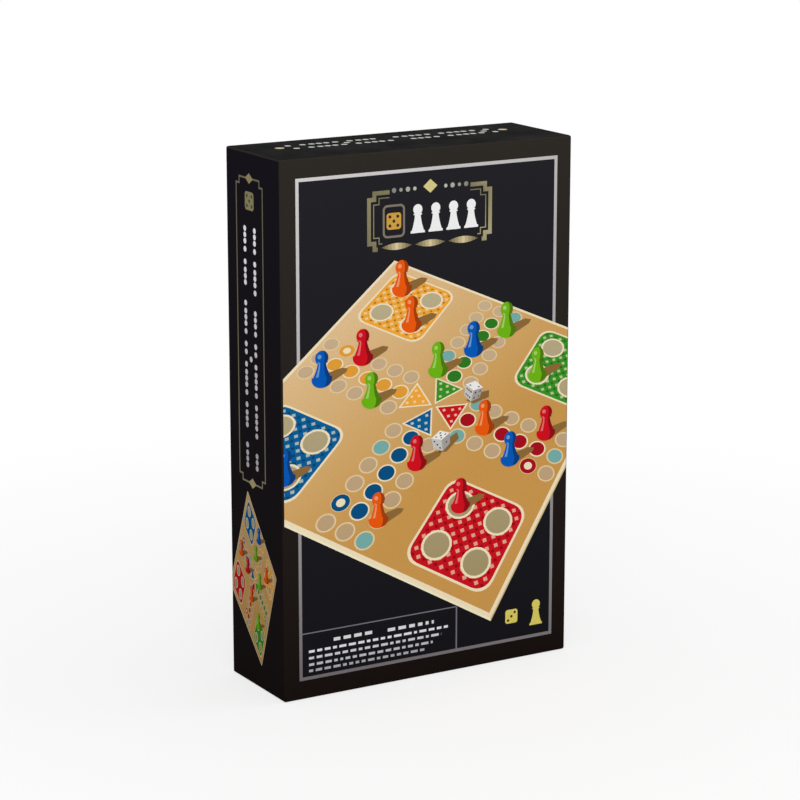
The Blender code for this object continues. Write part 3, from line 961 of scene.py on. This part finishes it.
def draw_top():
    """A row of die faces between two gold discs, on a ground printed darker than the front as
    painted shade.
    """
    sheet = lid_sheet("top")
    ink = Print(sheet)
    # Painted shade: the top's ground is printed darker than the front so that it stays dark under
    # the lamps above.
    ink.plate(slab(*sheet.bounds), (11, 11, 12), 1)
    v, first, pitch, across, up, radius = mm(7, -53, 13.2, 4.1, 4.6, 1.7)
    for column, value in enumerate(TOP_VALUES):
        for a, b in PIPS[value]:
            place = (first + column * pitch + b * across, v + a * up)
            ink.plate(disc(place, radius, 12), (206, 206, 200), 2)
    ink.finish("top_print", PRINT, "lid")
    foil = Print(sheet)
    radius = 2.4 * MM
    for u in mm(-64, 64):
        foil.plate(disc((u, v), radius, 14), (170, 152, 88), 2)
    foil.finish("top_foil", GOLD_FOIL, "lid")


# Box shells

WALL = 1.5 * MM
TURN_IN = 15 * MM
TURN_IN_WANDER = 0.35 * MM
TURN_IN_RUNS = 9
LONG_RUN = 5 * MM
PAPER_THICK = 0.12 * MM
LINING_THICK = 0.1 * MM
LINING_GAP = 0.02 * MM
LINING_OVERLAP = 1.5 * MM
OUTER_CORNER = 0.5 * MM
INNER_CORNER = 0.4 * MM
LEAST_CORNER = 0.15 * MM
CORNER_SHARE = 1.1
FOLD = 0.3 * MM
EASE_STEPS = 4
BASE_SKIN = 0.02 * MM
BASE_EDGE = 0.9 * MM


def inset_ring(width, height, inset, corner, steps):
    """A rectangle with round corners, set in from the given size."""
    return rounded(width - 2 * inset, height - 2 * inset, corner, (0, MIDDLE_Z), steps)


def shell(name, width, height, skin, closed, rim, radius, material):
    """A wrapped board shell: eased outer edges, a folded rim and square inner corners."""
    inward = 1 if rim > closed else -1
    width -= 2 * skin
    height -= 2 * skin
    inner = WALL - skin
    outer = CORNER_SHARE * radius
    runs = []
    for step in range(EASE_STEPS + 1):
        angle = math.pi / 2 * step / EASE_STEPS
        runs.append((radius * (1 - math.sin(angle)), outer,
                     closed + inward * (skin + radius * (1 - math.cos(angle)))))
    runs += [(0, outer, rim - inward * FOLD), (0.3 * FOLD, radius, rim - inward * 0.3 * FOLD),
             (FOLD, radius, rim), (inner - FOLD, radius, rim),
             (inner, radius, rim - inward * FOLD), (inner, radius, closed + inward * WALL)]
    sections = [(inset_ring(width, height, inset, max(corner - inset, LEAST_CORNER), 4), y)
                for inset, corner, y in runs]
    return from_bmesh(name, loft(sections), material, 30)


def inner_band(name, width, height, rim, seed):
    """The wrap's turned-in margin: a thin band inside the walls with a hand-cut edge."""
    chance = random.Random(seed)
    inward = -1 if rim > 0 else 1
    outer = divided(inset_ring(width, height, 0, OUTER_CORNER, 3), TURN_IN_RUNS)
    inner = divided(inset_ring(width, height, PAPER_THICK, INNER_CORNER, 3), TURN_IN_RUNS)
    drawn = bmesh.new()
    rings = []
    start = rim + inward * FOLD
    for (xo, zo), (xi, zi) in zip(outer, inner):
        stop = start + inward * (TURN_IN + chance.uniform(-1, 1) * TURN_IN_WANDER)
        rings.append([drawn.verts.new(place) for place in
                      ((xo, start, zo), (xi, start, zi), (xi, stop, zi), (xo, stop, zo))])
    bridge(drawn, rings + rings[:1])
    return from_bmesh(name, drawn, WRAP)


def divided(outline, parts):
    """Put evenly spaced points on the long runs of an outline."""
    points = []
    for (x0, z0), (x1, z1) in zip(outline, outline[1:] + outline[:1]):
        count = parts if math.dist((x0, z0), (x1, z1)) > LONG_RUN else 1
        points += [(x0 + (x1 - x0) * i / count, z0 + (z1 - z0) * i / count) for i in range(count)]
    return points


def lining(name, width, height, closed, inward, depth):
    """Lining paper on the inner panel and part of the way up the walls."""
    outer = inset_ring(width, height, LINING_GAP, OUTER_CORNER, 3)
    inner = inset_ring(width, height, LINING_THICK, INNER_CORNER, 3)
    start = closed + inward * LINING_GAP
    rim = closed + inward * depth
    return from_bmesh(name, loft([(outer, start), (outer, rim), (inner, rim),
                                  (inner, start + inward * LINING_THICK)]), LINING, 30)


def inner_papers(name, width, height, closed, rim, seed):
    """The turned-in margin inside a shell's rim, and the lining that its edge lies over."""
    width -= 2 * WALL
    height -= 2 * WALL
    inward = 1 if rim > closed else -1
    depth = abs(rim - closed) - WALL - TURN_IN + LINING_OVERLAP
    return (inner_band(f"{name}_turn_in", width, height, rim, seed),
            lining(f"{name}_lining", width, height, closed + inward * WALL, inward, depth))


def paint(thing, tone):
    """Give a plain mesh the same ink colours that the plates carry."""
    layer = thing.data.attributes.new("ink", "FLOAT_COLOR", "POINT")
    values = []
    for vertex in thing.data.vertices:
        values += [*colour(*tone(vertex.co.x, vertex.co.z)), 1.0]
    layer.data.foreach_set("color", values)


def make_lid():
    body = shell("lid_shell", WIDTH, HEIGHT, SKIN, LID_LOW.y, LID_HIGH.y, EDGE, LAMINATE)
    # Painted light and shade: the shell's border runs from lighter at the top to darker at the
    # foot.
    paint(body, fade(*BORDER_LIT_TO_SHADED, 0, HEIGHT))
    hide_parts("lid")
    for piece in (body, *inner_papers("lid", WIDTH, HEIGHT, LID_LOW.y, LID_HIGH.y, 31)):
        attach(piece, "lid")


def make_base():
    width = BASE_HIGH.x - BASE_LOW.x
    height = BASE_HIGH.z - BASE_LOW.z
    body = shell("base_shell", width, height, BASE_SKIN, BASE_HIGH.y, BASE_LOW.y, BASE_EDGE, WRAP)
    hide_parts("base")
    for piece in (body, *inner_papers("base", width, height, BASE_HIGH.y, BASE_LOW.y, 32)):
        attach(piece, "base")


# What the box holds

def dress_cad(node, material, angle=30):
    thing = bpy.data.objects[node]
    thing.data.materials.clear()
    thing.data.materials.append(material)
    thing.data.shade_smooth()
    thing.data.set_sharp_from_angle(angle=math.radians(angle))


def make_board():
    """The two panels carry one board picture, half each, print to print."""
    fold = next(joint for joint in frame["record"]["behaviour"]["joints"]
                if joint["name"] == "board_fold")["pos_m"][0]
    hem, crease = mm(0.5, 0.2)
    low, high = node_box("board_lower")
    back = node_box("board_upper")[1].y
    size = (high.z - low.z) / 2
    edge = size - hem
    reach = high.x - fold - hem
    whole = Warp(slab(-size, -size, size, size))
    lower = Sheet((fold, low.y, MIDDLE_Z), (1, 0, 0), (crease, -edge, reach, edge))
    upper = Sheet((fold, back, MIDDLE_Z), (-1, 0, 0), (-reach, -edge, -crease, edge))
    for name, sheet in (("board_lower", lower), ("board_upper", upper)):
        ink = Print(sheet)
        race_board(ink, whole, 0, 32)
        ink.finish(f"{name}_print", BOARD_INK, name)
        dress_cad(name, WRAP)


def make_leaflet():
    """Blocks of plain bars under a small plan of the board."""
    low, high = node_box("leaflet")
    margin, plan, plan_up, first, pitch, left, right = mm(1, 26, 52, 12, 5.2, -58, 58)
    ink = Print(Sheet((0, low.y, MIDDLE_Z), (1, 0, 0),
                      (low.x + margin, low.z - MIDDLE_Z + margin, high.x - margin,
                       high.z - MIDDLE_Z - margin)))
    race_board(ink, Warp(slab(-plan, plan_up - plan, plan, plan_up + plan)), 0, 12, fine=False)
    heading_end, stagger, heading_bar, bar, longest = mm(20, 9, 1.9, 1.2, 9)
    block = 6
    for row in range(19):
        stop, thickness = right - stagger * (row % 3), bar
        if row % block == 0:
            stop, thickness = heading_end, heading_bar
        if row % block < block - 1:
            ruled_bars(ink, left, stop, first - row * pitch, thickness, (52, 50, 54), 1, 40 + row,
                       longest)
    ink.finish("leaflet_print", LEAFLET_INK, "leaflet")
    dress_cad("leaflet", PAPER)


PAWN_SIDES = 48
SEAM = 0.05 * MM
SEAM_SHARPNESS = 14


def make_pawns():
    """Turned pawns with a faint mould seam, each on its solid's place."""
    paints = {name: plastic(f"{name}_gloss", tone) for name, tone in PAWN_TONES.items()}
    for node in sorted(name for name in frame["nodes"] if name.startswith("pawn_")):
        tint = node.split("_")[1]
        low, high = node_box(node)
        centre = (low + high) / 2
        drawn = bmesh.new()
        rings = []
        for radius, up in pawn_profile((high.x - low.x) / 2, high.y - low.y):
            ring = []
            for side in range(PAWN_SIDES):
                angle = 2 * math.pi * side / PAWN_SIDES
                bulge = SEAM * max(0.0, 1 - SEAM_SHARPNESS * abs(math.sin(angle)))
                reach = radius - SEAM + bulge
                ring.append(drawn.verts.new((centre.x + reach * math.cos(angle), high.y - up,
                                             centre.z + reach * math.sin(angle))))
            rings.append(ring)
        bridge(drawn, rings)
        drawn.faces.new(rings[0])
        crown = drawn.verts.new((centre.x, low.y, centre.z))
        for i in range(PAWN_SIDES):
            drawn.faces.new((rings[-1][i], rings[-1][(i + 1) % PAWN_SIDES], crown))
        pawn = from_bmesh(f"{node}_turned", drawn, paints[tint], 50)
        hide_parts(node)
        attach(pawn, node)


DIE_TURNS = {1: ("X", 0), 6: ("X", 2), 2: ("X", 1), 5: ("X", -1), 3: ("Y", 1), 4: ("Y", -1)}
DIE_EDGE_SHARE = 0.135
PIP_PLACE_SHARE = 0.2625
PIP_LIFT_SHARE = 0.098
PIP_RADIUS_SHARE = 0.136
DIE_TONE = (236, 233, 224)
PIP_TONE = (24, 22, 24)


def make_dice():
    """Rounded dice with drilled and painted pips, set as the solids are."""
    ivory = plastic("die_gloss", DIE_TONE)
    pip_paint = plastic("pip_paint", PIP_TONE)
    quarter = math.pi / 2
    for node, tipped in (("die_1", "X"), ("die_2", "Y")):
        low, high = node_box(node)
        size = high.x - low.x
        body = bmesh.new()
        bmesh.ops.create_cube(body, size=size)
        bmesh.ops.subdivide_edges(body, edges=body.edges[:], cuts=11, use_grid_fill=True)
        soften(body, size / 2, DIE_EDGE_SHARE * size)
        die = from_bmesh(f"{node}_rounded", body, ivory, 40)
        spacing = PIP_PLACE_SHARE * size
        depth = (0.5 + PIP_LIFT_SHARE) * size
        drills = bmesh.new()
        for value, (axis, quarters) in DIE_TURNS.items():
            side = Matrix.Rotation(quarters * quarter, 4, axis)
            for a, b in PIPS[value]:
                place = Matrix.Translation((a * spacing, b * spacing, depth))
                bmesh.ops.create_uvsphere(drills, u_segments=24, v_segments=16,
                                          radius=PIP_RADIUS_SHARE * size, matrix=side @ place)
        cutter = from_bmesh(f"{node}_drills", drills, pip_paint)
        carve = die.modifiers.new("pips", "BOOLEAN")
        carve.operation = "DIFFERENCE"
        carve.solver = "EXACT"
        carve.material_mode = "TRANSFER"
        carve.object = cutter
        settled = bpy.data.meshes.new_from_object(
            die.evaluated_get(bpy.context.evaluated_depsgraph_get()))
        die.modifiers.clear()
        die.data = settled
        settled.set_sharp_from_angle(angle=math.radians(35))
        bpy.data.objects.remove(cutter, do_unlink=True)
        die.data.transform(Matrix.Translation((low + high) / 2)
                           @ Matrix.Rotation(quarter, 4, tipped))
        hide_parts(node)
        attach(die, node)


def soften(drawn, half, radius):
    """Round a gridded cube's edges and corners."""
    core = half - radius
    for vertex in drawn.verts:
        inner = Vector([max(-core, min(core, value)) for value in vertex.co])
        offset = vertex.co - inner
        if offset.length > NO_LENGTH:
            vertex.co = inner + offset.normalized() * radius


# Stage

CAMERA_AZIMUTH = math.radians(-30.507)
CAMERA_ELEVATION = math.radians(13.504)
CAMERA_DISTANCE = 1.4161
CAMERA_LENS = 126.29
CAMERA_SIDE = 0.0004
CAMERA_DROP = -0.00298
LAMPS = (("key_light", (-1.0, -1.7, 1.7), (1.4, 1.0), 19),
         ("top_light", (0.1, -0.2, 2.1), (1.6, 1.2), 10),
         ("side_light", (1.9, -0.6, 0.9), (0.9, 1.3), 6))
WORLD_LIGHT = 0.42
FLOOR_REACH = 4.0
FLOOR_TONE = (0.93, 0.93, 0.93, 1)
GLOW_NEAR = 0.12
GLOW_FAR = 0.5
GLOW_LEAST = 0.72
PLAIN_WHITE = (1, 1, 1, 1)


def make_camera():
    back = Vector((math.sin(CAMERA_AZIMUTH) * math.cos(CAMERA_ELEVATION),
                   -math.cos(CAMERA_AZIMUTH) * math.cos(CAMERA_ELEVATION),
                   math.sin(CAMERA_ELEVATION)))
    right = (-back).cross(Vector((0, 0, 1))).normalized()
    up = right.cross(-back)
    camera = bpy.data.objects.new("camera", bpy.data.cameras.new("camera"))
    camera.data.lens = CAMERA_LENS
    camera.data.sensor_width = 36
    camera.data.clip_start = 0.01
    camera.location = (Vector((0, 0, MIDDLE_Z)) + back * CAMERA_DISTANCE - right * CAMERA_SIDE
                       - up * CAMERA_DROP)
    camera.rotation_mode = "QUATERNION"
    camera.rotation_quaternion = (-back).to_track_quat("-Z", "Y")
    bpy.context.scene.collection.objects.link(camera)
    bpy.context.scene.camera = camera


def lamp(name, place, size, power):
    data = bpy.data.lights.new(name, "AREA")
    data.shape = "RECTANGLE"
    data.size = size[0]
    data.size_y = size[1]
    data.energy = power
    light = bpy.data.objects.new(name, data)
    light.location = place
    towards = Vector((0, 0, MIDDLE_Z)) - Vector(place)
    light.rotation_euler = towards.to_track_quat("-Z", "Y").to_euler()
    bpy.context.scene.collection.objects.link(light)


def make_world():
    """White where the camera or a reflection looks past the object, softer as light."""
    world = bpy.data.worlds.new("studio")
    bpy.context.scene.world = world
    world.use_nodes = True
    tree = world.node_tree
    rays = add_node(tree, "LightPath", {}).outputs
    either = add_node(tree, "Math", {0: rays["Is Camera Ray"], 1: rays["Is Transmission Ray"]},
                      "MAXIMUM")
    both = add_node(tree, "Math", {0: either, 1: rays["Is Glossy Ray"]}, "MAXIMUM")
    level = add_node(tree, "MapRange", {"Value": both, "To Min": WORLD_LIGHT, "To Max": 1.0})
    feed(tree, tree.nodes["Background"], {"Color": PLAIN_WHITE, "Strength": level})


def make_floor():
    """A white floor that holds the soft shadow round the box and turns plain white further off."""
    drawn = bmesh.new()
    drawn.faces.new([drawn.verts.new((x, y, 0)) for x, y in
                     slab(-FLOOR_REACH, -FLOOR_REACH, FLOOR_REACH, FLOOR_REACH)])
    material, tree, shader = new_material("floor_white")
    feed(tree, shader, {"Base Color": FLOOR_TONE, "Roughness": 0.9, "Specular IOR Level": 0.1})
    place = add_node(tree, "TexCoord", {}).outputs["Object"]
    far = add_node(tree, "VectorMath", {0: place}, "LENGTH").outputs["Value"]
    away = add_node(tree, "MapRange", {"Value": far, "From Min": GLOW_NEAR, "From Max": GLOW_FAR,
                                       "To Min": GLOW_LEAST, "To Max": 1.0})
    rays = add_node(tree, "LightPath", {}).outputs
    share = add_node(tree, "Math", {0: away, 1: rays["Is Camera Ray"]}, "MULTIPLY")
    glow = add_node(tree, "Emission", {"Color": PLAIN_WHITE})
    blend = add_node(tree, "MixShader", {"Fac": share, 1: shader, 2: glow})
    feed(tree, tree.nodes["Material Output"], {"Surface": blend})
    floor = from_bmesh("floor", drawn, material)


def make_stage():
    bpy.context.scene.view_settings.view_transform = "Standard"
    make_world()
    make_floor()
    for name, place, size, power in LAMPS:
        lamp(name, place, size, power)
    make_camera()


def main():
    make_lid()
    draw_front()
    draw_side("spine")
    draw_side("right")
    draw_top()
    make_base()
    dress_cad("insert", TRAY_PLASTIC, 28)
    make_board()
    make_leaflet()
    make_pawns()
    make_dice()
    make_stage()


main()
